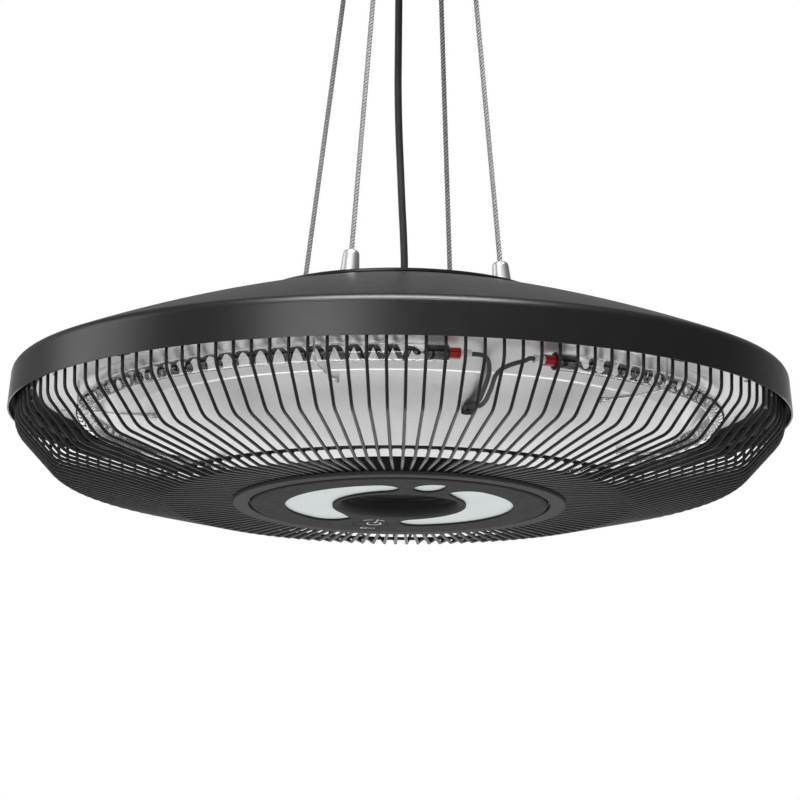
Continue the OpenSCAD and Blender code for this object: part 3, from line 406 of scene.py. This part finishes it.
def quartz():
    """Clear drawn glass with faint draw lines."""
    s = Surface("quartz", 0.02, specular=0.5)
    s.set("IOR", 1.45)
    s.set("Transmission Weight", 1.0)
    s.varied((0.97, 0.98, 0.98, 1), (1, 1, 1, 1), 20)
    s.rough(s.noise(90, 2), 0.0, 0.01)
    s.bump(s.noise(12, 1), 0.0000015)
    return s


def filament():
    """Dark oxidised ribbon with scale."""
    s = Surface("filament", 0.45, specular=0.12)
    scale = s.noise(1500, 2)
    s.colour(s.ramp(scale, [(0.3, linear(24, 23, 23)), (0.7, linear(31, 30, 30))]))
    s.rough(scale, 0.42, 0.5)
    s.bump(scale, 0.000001)
    return s


def rope_steel():
    """Bright strand: the wires of each strand run along it in a slow twist. Painted shade darkens the
    stripes between the wires, and painted shade near black fills the grooves between the strands.
    """
    s = Surface("rope_steel", 0.36, metallic=0.45)
    turn = s.math("ADD", s.math("MULTIPLY", s.attribute("around"), 6.0),
                  s.math("MULTIPLY", s.attribute("along"), 180.0))
    wires = s.math("ABSOLUTE", s.math("SINE", s.math("MULTIPLY", turn, math.pi)))
    # Painted shade: darker stripes between the wires, lighter on their crowns
    wires_with_painted_shade = s.ramp(wires, [(0.0, linear(80, 80, 82)), (0.4, linear(172, 173, 175)),
                            (1.0, linear(190, 191, 193))])
    # Painted shade: near black in the grooves between the strands, where a point lies close to the
    # rope's axis
    painted_groove_shade = s.mapped(s.attribute("depth"), 0.86, 0.95, 0.0, 1.0)
    s.colour(s.mixed(painted_groove_shade, linear(2, 2, 3), wires_with_painted_shade))
    s.rough(s.noise(700, 2), 0.24, 0.36)
    s.bump(wires, 0.00006)
    return s


def cord_sheath():
    """Dull black extruded sheath: fine die lines along it and a matt skin."""
    s = Surface("cord_sheath", 0.5, specular=0.35)
    s.varied(linear(30, 30, 31), linear(42, 42, 43), 40)
    lines = s.noise(1.0, 3, space=s.stretched((1500, 1500, 60)))
    s.rough(lines, 0.42, 0.56)
    s.bump(lines, 0.00002)
    s.bump(s.noise(2400, 2), 0.00001)
    return s


def lead_sleeve():
    """Braided heat-proof sleeve: two sets of yarns that cross."""
    s = Surface("lead_sleeve", 0.7, specular=0.3)
    around = s.math("MULTIPLY", s.attribute("around"), 10.0)
    along = s.math("MULTIPLY", s.attribute("along"), 900.0)
    one = s.math("SINE", s.math("MULTIPLY", s.math("ADD", around, along), math.pi))
    two = s.math("SINE", s.math("MULTIPLY", s.math("SUBTRACT", around, along), math.pi))
    weave = s.math("MULTIPLY", one, two)
    s.colour(s.ramp(s.mapped(weave, -1, 1, 0, 1),
                    [(0.1, linear(58, 58, 58)), (0.5, linear(82, 82, 82)), (1.0, linear(98, 98, 98))]))
    s.rough(s.noise(900, 2), 0.62, 0.78)
    s.bump(weave, 0.0001)
    return s


def print_and_painted_highlight():
    """White pad print with slightly uneven cover. The same white also paints a highlight along the
    button's near edge.
    """
    s = Surface("print_and_painted_highlight", 0.5, specular=0.4)
    s.varied(linear(214, 214, 214), linear(236, 236, 236), 900)
    s.bump(s.noise(5000, 1), 0.000004)
    return s


# How far below its top the control pan stays bare, in metres
BARE_DEPTH = 0.0003


def pan_finish():
    """Black paint outside. The top, which faces the reflector, stays bare sheet."""
    s = painted("pan_finish", linear(14, 14, 14), linear(20, 20, 20), 0.55, 0.2)
    height = s.node("ShaderNodeSeparateXYZ")
    s.link(s.space, height.inputs[0])
    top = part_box("control_pan")[1].z
    bare = s.math("GREATER_THAN", height.outputs["Z"], top - BARE_DEPTH)
    s.colour(s.mixed(bare, s.tint, linear(240, 240, 240)))
    s.link(s.mixed(bare, s.gloss, (0.3, 0.3, 0.3, 1)), s.shader.inputs["Roughness"])
    s.link(bare, s.shader.inputs["Metallic"])
    return s


finish["pan_finish"] = pan_finish()
finish["diffuser"] = diffuser()
finish["reflector_sheet"] = reflector_sheet()
finish["quartz"] = quartz()
finish["filament"] = filament()
finish["wire_rope"] = rope_steel()
finish["cord_sheath"] = cord_sheath()
finish["lead_sleeve"] = lead_sleeve()
finish["print_and_painted_highlight"] = print_and_painted_highlight()


def dress(obj, slot):
    obj.data.materials.clear()
    obj.data.materials.append(finish[slot].material)


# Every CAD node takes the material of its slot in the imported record, but for a few with a finish of
# their own
OWN_FINISH = {
    "flange_ring": "flange_paint",
    "control_pan": "pan_finish",
    "tube_clips": "clip_steel",
    "clip_screws": "clip_steel",
    "upper_ferrules": "satin_nickel",
    "lower_ferrules": "satin_nickel",
}
for part in frame["record"]["subparts"]:
    dress(frame["nodes"][part["node"]], OWN_FINISH.get(part["node"], part["material_slot"]))

# Ropes and cord: millimetres and degrees from the heater's axis and rim, with the strands in metres
ROPE_LOW, ROPE_HIGH, ROPE_TURN = 86.5, 53.0, -27.0
FERRULE_H = 21.0
PLATE_TOP = 91.4
CANOPY_H = 28.0
ROPE_R = 2.0
STRANDS = 4
STRAND_R = 0.0008
STRAND_SIDES = 12
STRAND_STEP = 0.0008
LAY = 0.0108


def rope_ends(i):
    """The points where a rope leaves its lower and its upper ferrule."""
    foot = place(*polar(ROPE_LOW, ROPE_TURN + 90 * i), PLATE_TOP)
    x, y = polar(ROPE_HIGH, ROPE_TURN + 90 * i)
    head = Vector((x / 1000, y / 1000, -CANOPY_H / 1000))
    way = (head - foot).normalized()
    inset = way * (FERRULE_H + SEAT) / 1000
    return foot + inset, head - inset


def make_rope(i):
    """Four strands laid round a core."""
    low, high = rope_ends(i)
    way = high - low
    length = way.length
    ahead = way.normalized()
    u = ahead.cross(Vector((1, 0, 0))).normalized()
    v = ahead.cross(u)
    steps = round(length / STRAND_STEP)
    points, faces, along, around = [], [], [], []
    for k in range(STRANDS + 1):
        ring = 0.0 if k == STRANDS else ROPE_R / 1000 - STRAND_R
        route = []
        for j in range(steps + 1):
            t = j / steps
            a = TAU * (t * length / LAY + k / STRANDS)
            route.append(low + way * t + (u * math.cos(a) + v * math.sin(a)) * ring)
        p, f, al, ar = tube_parts(route, STRAND_R, STRAND_SIDES, len(points))
        points += p
        faces += f
        along += al
        around += ar
    # How far each point lies from the rope's axis, which the material turns into painted shade in the
    # grooves
    depth = [(p - low).cross(ahead).length / ROPE_R * 1000 for p in points]
    rope = mesh_object(
        f"rope_{i + 1}_strands", points, faces, {"along": along, "around": around, "depth": depth}
    )
    dress(rope, "wire_rope")
    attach(rope, "heater")
    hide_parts(f"rope_{i + 1}")


for rope_number in range(4):
    make_rope(rope_number)

# The cord's course in millimetres from the heater's axis and rim: sideways, and height before it is
# stretched between its two ends
CORD_D = 0.0057
CORD_SIDES = 20
CORD_STEP = 0.003
CORD_ROUTE = [
    (2.2, 112.8), (2.2, 119), (1.9, 127), (1.5, 136), (1, 146), (0.4, 156), (-0.2, 167),
    (-0.8, 179), (-1.4, 191), (-2, 203), (-2.6, 215), (-3.1, 227), (-3.5, 239), (-3.8, 251),
    (-4, 264), (-4, 277), (-4, 290), (-4, 303), (-4, 316), (-4, 329), (-4, 336), (-4, 343),
]
CORD_LOW, CORD_HIGH = 113.4, 343.0


def make_mains_cord():
    """The sheathed cord that hangs between its gland and the canopy."""
    rise = (CORD_HIGH - CORD_LOW) / (CORD_ROUTE[-1][1] - CORD_ROUTE[0][1])
    points = [place(x, 0, CORD_LOW + (z - CORD_ROUTE[0][1]) * rise) for x, z in CORD_ROUTE]
    route = smooth_route(points, CORD_STEP)
    cord = tube_object("mains_cord_sheath", route, CORD_D / 2, CORD_SIDES)
    dress(cord, "cord_sheath")
    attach(cord, "heater")
    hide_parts("mains_cord")


make_mains_cord()

# Heating tube: millimetres from the heater's axis and rim, and degrees round the axis
RING_R = 241.0
TUBE_Z = -0.5
GLASS_FROM, GLASS_TO = -62.0, 278.3
TERMINAL_L, SEAL_L, TIP_L = 15.6, 8.8, 8.0


def arc_of(length):
    """Degrees on the tube's ring that a length in millimetres covers."""
    return math.degrees(length / RING_R)


COIL_R = 5.38
CURLS = 98
CURL_STEPS = 26
RIBBON_W, RIBBON_T = 4.6, 0.8
RIBBON_SIDES = 10
# Below 1, the ribbon's section is squarer than an ellipse
RIBBON_ROUNDNESS = 0.6
# Curls over which each end opens out, and the straight part before them
OPENING_CURLS, STRAIGHT_CURLS = 0.8, 0.25


def make_filament():
    """A ribbon wound into an open coil that opens out of its terminals."""
    first = GLASS_FROM + arc_of(TERMINAL_L + SEAT)
    last = GLASS_TO - arc_of(TERMINAL_L + SEAT)
    count = CURLS * CURL_STEPS
    opening = CURL_STEPS * OPENING_CURLS
    straight = CURL_STEPS * STRAIGHT_CURLS

    def spread(i):
        t = min(1.0, max(0.0, (min(i, count - 1 - i) - straight) / opening))
        return COIL_R * t * t * (3 - 2 * t)

    def centre(i):
        azimuth = first + (last - first) * i / (count - 1)
        turn = TAU * i / CURL_STEPS
        x, y = polar(RING_R + spread(i) * math.cos(turn), azimuth)
        return place(x, y, TUBE_Z + spread(i) * math.sin(turn))

    def outwards(i):
        azimuth = math.radians(first + (last - first) * i / (count - 1))
        turn = TAU * i / CURL_STEPS
        return Vector((math.cos(turn) * math.cos(azimuth), math.cos(turn) * math.sin(azimuth),
                       math.sin(turn)))

    section = []
    for k in range(RIBBON_SIDES):
        a = TAU * k / RIBBON_SIDES
        section.append(tuple(
            math.copysign(abs(t) ** RIBBON_ROUNDNESS, t) / 2 for t in (math.cos(a), math.sin(a))
        ))
    points, faces = [], []
    centres = [centre(i) for i in range(count)]
    for i in range(count):
        ahead = (centres[min(i + 1, count - 1)] - centres[max(i - 1, 0)]).normalized()
        out = outwards(i)
        side = ahead.cross(out).normalized()
        out = side.cross(ahead)
        for a, b in section:
            points.append(centres[i] + (side * RIBBON_W * a + out * RIBBON_T * b) / 1000)
    n = len(section)
    for i in range(count - 1):
        for k in range(n):
            a, b = i * n + k, i * n + (k + 1) % n
            faces.append((a, a + n, b + n, b))
    faces.append(tuple(range(n)))
    faces.append(tuple((count - 1) * n + k for k in reversed(range(n))))
    coil = mesh_object("filament_ribbon", points, faces)
    dress(coil, "filament")
    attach(coil, "heater")
    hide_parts("filament_coil")


make_filament()

LEAD_D = 3.4
LEAD_SIDES = 18
LEAD_STEP = 0.0012
# Straight length of a lead at each of its ends
LEAD_STRAIGHT = 3.5
GROMMET = (51.0, -72.0)
LEAD_SPREAD = 3.6
NOSE_Z = -10.9
NOSE_END = -83.5
LEFT_ROUTE = [
    (56.5, -234.2, -0.5), (61, -232.5, -1.2), (64, -228.5, -3.8), (65, -222.5, -7),
    (65, -216, -10.5), (64, -208, -13.6), (62.8, -199, -15.8), (61.8, -190, -17),
    (61, -180, -17.6), (60.2, -170, -17.9), (59.5, -160, -17.8), (58.7, -150, -17.4),
    (57.9, -140, -16.7), (57, -130, -15.8), (55.8, -120, -14.7), (54.2, -110, -13.6),
    (52.2, -101, -12.3), (50.4, -93, -11.3), (49.3, -87, -10.9),
]
RIGHT_ROUTE = [
    (91.5, -222.8, -2.4), (85, -225.6, -4.8), (78.5, -227, -7.4), (73.5, -226.6, -10.2),
    (70.2, -224, -13.4), (68.4, -219, -16.8), (67.4, -212, -19.2), (66.5, -204, -20.6),
    (65.5, -195, -21.2), (64.8, -186, -21.4), (64.2, -177, -21.4), (63.5, -168, -21.2),
    (62.8, -159, -20.7), (62.1, -150, -19.8), (61.4, -141, -18.8), (60.6, -132, -17.8),
    (59.6, -122, -16.4), (58.4, -112, -14.7), (56.6, -102, -12.8), (54.5, -94, -11.4),
    (53, -87, -10.9),
]


def make_lead(side, route, tip_angle, direction, x_end):
    """A braided sleeve from a tip to the grommet's nose."""
    a = math.radians(tip_angle)
    way = Vector((-math.sin(a), math.cos(a), 0)) * direction / 1000
    start = place(*polar(RING_R, tip_angle), TUBE_Z) + way * SEAT
    points = [start, start + way * LEAD_STRAIGHT]
    points += [place(*p) for p in route]
    points += [place(x_end, NOSE_END - LEAD_STRAIGHT, NOSE_Z), place(x_end, NOSE_END - SEAT, NOSE_Z)]
    path = smooth_route(points, LEAD_STEP)
    lead = tube_object(f"lead_{side}_sleeve", path, LEAD_D / 2000, LEAD_SIDES)
    dress(lead, "lead_sleeve")
    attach(lead, "heater")
    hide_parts(f"lead_{side}")


TIP_END = arc_of(SEAL_L + TIP_L + 2 * SEAT)
make_lead("left", LEFT_ROUTE, GLASS_TO + TIP_END, 1, GROMMET[0] - LEAD_SPREAD / 2)
make_lead("right", RIGHT_ROUTE, GLASS_FROM - TIP_END, -1, GROMMET[0] + LEAD_SPREAD / 2)

# Button, marks and painted highlight: millimetres from the heater's axis and rim, with the spring's wire
# in metres
SPRING_WIRE_R = 0.0004
SPRING_TURNS = 4
SPRING_STEPS = 28
SPRING_SIDES = 10
PANEL_LOW = -71.0
# How far the printed marks and the painted highlight go into the panel and stand out from it
LINE_IN, LINE_OUT = 0.004, 0.02


def make_button_spring():
    """The round wire spring above the button. It is built in one shape and does not shorten as the
    button is pressed.
    """
    low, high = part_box("button_spring")
    radius = (high.x - low.x) / 2 - SPRING_WIRE_R
    centre = (low + high) / 2
    count = SPRING_TURNS * SPRING_STEPS
    route = []
    for i in range(count + 1):
        a = TAU * i / SPRING_STEPS
        z = low.z + SPRING_WIRE_R + (high.z - low.z - 2 * SPRING_WIRE_R) * i / count
        route.append(Vector((centre.x + radius * math.cos(a), centre.y + radius * math.sin(a), z)))
    spring = tube_object("button_spring_wire", route, SPRING_WIRE_R, SPRING_SIDES)
    dress(spring, "steel")
    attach(spring, "heater")
    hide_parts("button_spring")
    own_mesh(spring)


make_button_spring()


def stroke(points, width, z, base):
    """A thin white line with square ends, as a flat closed strip."""
    half = width / 2
    top, low = z + LINE_IN, z - LINE_OUT
    corners = ((1, low), (-1, low), (-1, top), (1, top))
    rows = []
    last = len(points) - 1
    for i, (x, y) in enumerate(points):
        (ax, ay), (bx, by) = points[max(i - 1, 0)], points[min(i + 1, last)]
        d = math.hypot(bx - ax, by - ay)
        nx, ny = -(by - ay) / d * half, (bx - ax) / d * half
        rows.append([place(x + s * nx, y + s * ny, h) for s, h in corners])
    verts = [p for row in rows for p in row]
    faces = []
    for i in range(last):
        for k in range(4):
            a, b = base + 4 * i + k, base + 4 * i + (k + 1) % 4
            faces.append((a, b, b + 4, a + 4))
    faces.append(tuple(base + k for k in (3, 2, 1, 0)))
    faces.append(tuple(base + 4 * last + k for k in range(4)))
    return verts, faces


def arc(centre, radius, start, end, steps=24):
    """Points on part of a circle, from one angle to another in degrees."""
    points = []
    for k in range(steps + 1):
        x, y = polar(radius, start + (end - start) * k / steps)
        points.append((centre[0] + x, centre[1] + y))
    return points


def make_marks(name, body, lines):
    """White lines that ride with a body: printed marks, and on the panel also a painted highlight."""
    verts, faces = [], []
    for points, width in lines:
        v, f = stroke(points, width, PANEL_LOW, len(verts))
        verts += v
        faces += f
    marks = mesh_object(name, verts, faces, smooth=False)
    dress(marks, "print_and_painted_highlight")
    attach(marks, body)


# Generic on/off and lamp symbols, partly on the button and partly on the panel round it, and a painted
# highlight along the button's near edge
make_marks("button_marks", "button", [
    (arc((-19.4, 75.0), 5.3, -46, 226), 1.1),
    ([(-17.0, 65.4), (-17.6, 68.4), (-19.3, 72.2)], 1.2),
])
make_marks("panel_marks_and_painted_highlight", "heater", [
    ([(-16.0, 58.0), (-16.6, 60.2), (-16.9, 62.3)], 1.2),
    # Painted highlight: two short white arcs on the panel along the button's near edge
    ([(-27.2, 62.0), (-25.8, 60.4), (-24.0, 59.5), (-20.2, 59.3)], 1.0),
    ([(-14.9, 60.6), (-13.0, 61.9), (-11.2, 63.8)], 1.0),
    (arc((-27.4, 93.6), 2.4, -10, 300, 16), 0.9),
    ([(-24.8, 93.2), (-21.6, 95.2), (-18.4, 94.6)], 0.9),
])

# Guard: millimetres from the heater's axis and rim, with the weld beads in metres
WIRES, WIRE_TURN = 128, 0.8
HOOP_R = 191.5
BELLY = (178.0, -67.8)
HAUNCH = (264.05, -46.2)
WIRE_D, HOOP_D = 2.5, 2.6
BEAD_ALONG, BEAD_OUT, BEAD_UP = 0.0019, 0.0017, 0.0011
BEAD_RINGS, BEAD_SIDES = 5, 10
# Share and pace at which the beads' sizes vary round the hoop
BEAD_VARIES, BEAD_PACE = 0.12, 2.4


def make_welds():
    """Small weld beads where each guard wire meets the hoop."""
    slope = math.atan2(HAUNCH[1] - BELLY[1], HAUNCH[0] - BELLY[0])
    wire_z = BELLY[1] + (HOOP_R - BELLY[0]) * math.tan(slope)
    gap = (WIRE_D + HOOP_D) / 2 / math.cos(slope)
    z = wire_z + gap * WIRE_D / (WIRE_D + HOOP_D)
    up = Vector((0, 0, 1))
    verts, faces = [], []
    for w in range(WIRES):
        azimuth = -90 + WIRE_TURN + 360 / WIRES * w
        a = math.radians(azimuth)
        out = Vector((math.cos(a), math.sin(a), 0))
        side = Vector((-math.sin(a), math.cos(a), 0))
        centre = place(*polar(HOOP_R, azimuth), z)
        size = 1 + BEAD_VARIES * math.sin(w * BEAD_PACE)
        base = len(verts)
        verts.append(centre - side * BEAD_ALONG * size)
        for i in range(1, BEAD_RINGS):
            t = math.pi * i / BEAD_RINGS
            for k in range(BEAD_SIDES):
                b = TAU * k / BEAD_SIDES
                across = out * BEAD_OUT * math.cos(b) + up * BEAD_UP * math.sin(b)
                verts.append(
                    centre - side * BEAD_ALONG * size * math.cos(t) + across * math.sin(t) * size
                )
        verts.append(centre + side * BEAD_ALONG * size)
        tip = len(verts) - 1
        for k in range(BEAD_SIDES):
            after = (k + 1) % BEAD_SIDES
            faces.append((base, base + 1 + after, base + 1 + k))
            for i in range(BEAD_RINGS - 2):
                p = base + 1 + i * BEAD_SIDES
                q = p + BEAD_SIDES
                faces.append((p + k, p + after, q + after, q + k))
            p = base + 1 + (BEAD_RINGS - 2) * BEAD_SIDES
            faces.append((p + k, p + after, tip))
    welds = mesh_object("guard_weld_beads", verts, faces)
    dress(welds, "guard_paint")
    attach(welds, "heater")


make_welds()

# The lamps shine through the clear tube
frame["nodes"]["quartz_tube"].visible_shadow = False

# Strengths of the world: its even light, and what mirrors see of the floor, of the low wall and of
# the room above it at the near and at the far side
FILL = 0.5
FLOOR_MIRRORED = 0.6
LOW_MIRRORED = 1.45
NEAR_MIRRORED = 0.07
FAR_MIRRORED = 0.31
# Where those change, as the backward and the upward part of a direction of length 1
ROOM_BACK = 0.45, 0.95
WALL_BACK = 0.86, 0.96
WALL_TOP = -0.03, 0.24
FLOOR_EDGE = -0.42, -0.22
ROOM_EDGE = -0.06, 0.06


def make_world():
    """
    White behind all that the camera or glass sees, and an even fill. Mirrors see a white floor and
    a white wall low down at the back, with a dim room above them.
    """
    world = bpy.data.worlds.new("studio")
    bpy.context.scene.world = world
    world.use_nodes = True
    tree = world.node_tree
    tree.nodes.clear()

    def background(strength):
        node = tree.nodes.new("ShaderNodeBackground")
        node.inputs["Color"].default_value = (1, 1, 1, 1)
        node.inputs["Strength"].default_value = strength
        return node.outputs[0]

    def mixed(factor, a, b):
        node = tree.nodes.new("ShaderNodeMixShader")
        tree.links.new(factor, node.inputs["Fac"])
        tree.links.new(a, node.inputs[1])
        tree.links.new(b, node.inputs[2])
        return node.outputs[0]

    def mapped(factor, low, high, to_low=0.0, to_high=1.0):
        node = tree.nodes.new("ShaderNodeMapRange")
        node.interpolation_type = "SMOOTHSTEP"
        tree.links.new(factor, node.inputs["Value"])
        for socket, number in zip(
            ("From Min", "From Max", "To Min", "To Max"), (low, high, to_low, to_high)
        ):
            node.inputs[socket].default_value = number
        return node.outputs["Result"]

    def difference(a, b):
        node = tree.nodes.new("ShaderNodeMath")
        node.operation = "SUBTRACT"
        tree.links.new(a, node.inputs[0])
        tree.links.new(b, node.inputs[1])
        return node.outputs[0]

    way = tree.nodes.new("ShaderNodeTexCoord")
    split = tree.nodes.new("ShaderNodeSeparateXYZ")
    tree.links.new(way.outputs["Generated"], split.inputs[0])
    back, height = split.outputs["Y"], split.outputs["Z"]
    room = mixed(mapped(back, *ROOM_BACK), background(NEAR_MIRRORED), background(FAR_MIRRORED))
    above = difference(height, mapped(back, *WALL_BACK, *WALL_TOP))
    low = mixed(mapped(height, *FLOOR_EDGE), background(FLOOR_MIRRORED), background(LOW_MIRRORED))
    mirrored = mixed(mapped(above, *ROOM_EDGE), low, room)
    path = tree.nodes.new("ShaderNodeLightPath")
    result = mixed(path.outputs["Is Glossy Ray"], background(FILL), mirrored)
    result = mixed(path.outputs["Is Transmission Ray"], result, background(1.0))
    result = mixed(path.outputs["Is Camera Ray"], result, background(1.0))
    out = tree.nodes.new("ShaderNodeOutputWorld")
    tree.links.new(result, out.inputs["Surface"])


make_world()

# The point that the lamps face
AIM = Vector((0, 0, -0.36))


def softbox(name, azimuth, elevation, distance, width, height, strength):
    """
    A soft lamp that faces the heater. Azimuth 0 is the camera's side, and it grows to the right;
    sizes are in metres and the strength is the lamp's brightness.
    """
    a, e = math.radians(azimuth), math.radians(elevation)
    back = Vector((math.sin(a) * math.cos(e), -math.cos(a) * math.cos(e), math.sin(e)))
    data = bpy.data.lights.new(name, "AREA")
    data.shape = "RECTANGLE"
    data.size = width
    data.size_y = height
    data.energy = strength * width * height * math.pi
    lamp = bpy.data.objects.new(name, data)
    bpy.context.scene.collection.objects.link(lamp)
    turned = back.to_track_quat("Z", "Y").to_matrix().to_4x4()
    lamp.matrix_world = Matrix.Translation(AIM + back * distance) @ turned


softbox("front_left", -24, 17, 2.5, 1.15, 1.2, 4.0)
softbox("left", -98, 20, 2.5, 1.4, 1.4, 2.0)
softbox("top", -1, 66, 2.4, 1.9, 0.9, 18.0)
softbox("front_low", -8, -13, 2.6, 0.9, 0.5, 4.0)
softbox("under", 180, -60, 1.25, 1.4, 0.8, 2.1)

bpy.context.scene.view_settings.view_transform = "Standard"
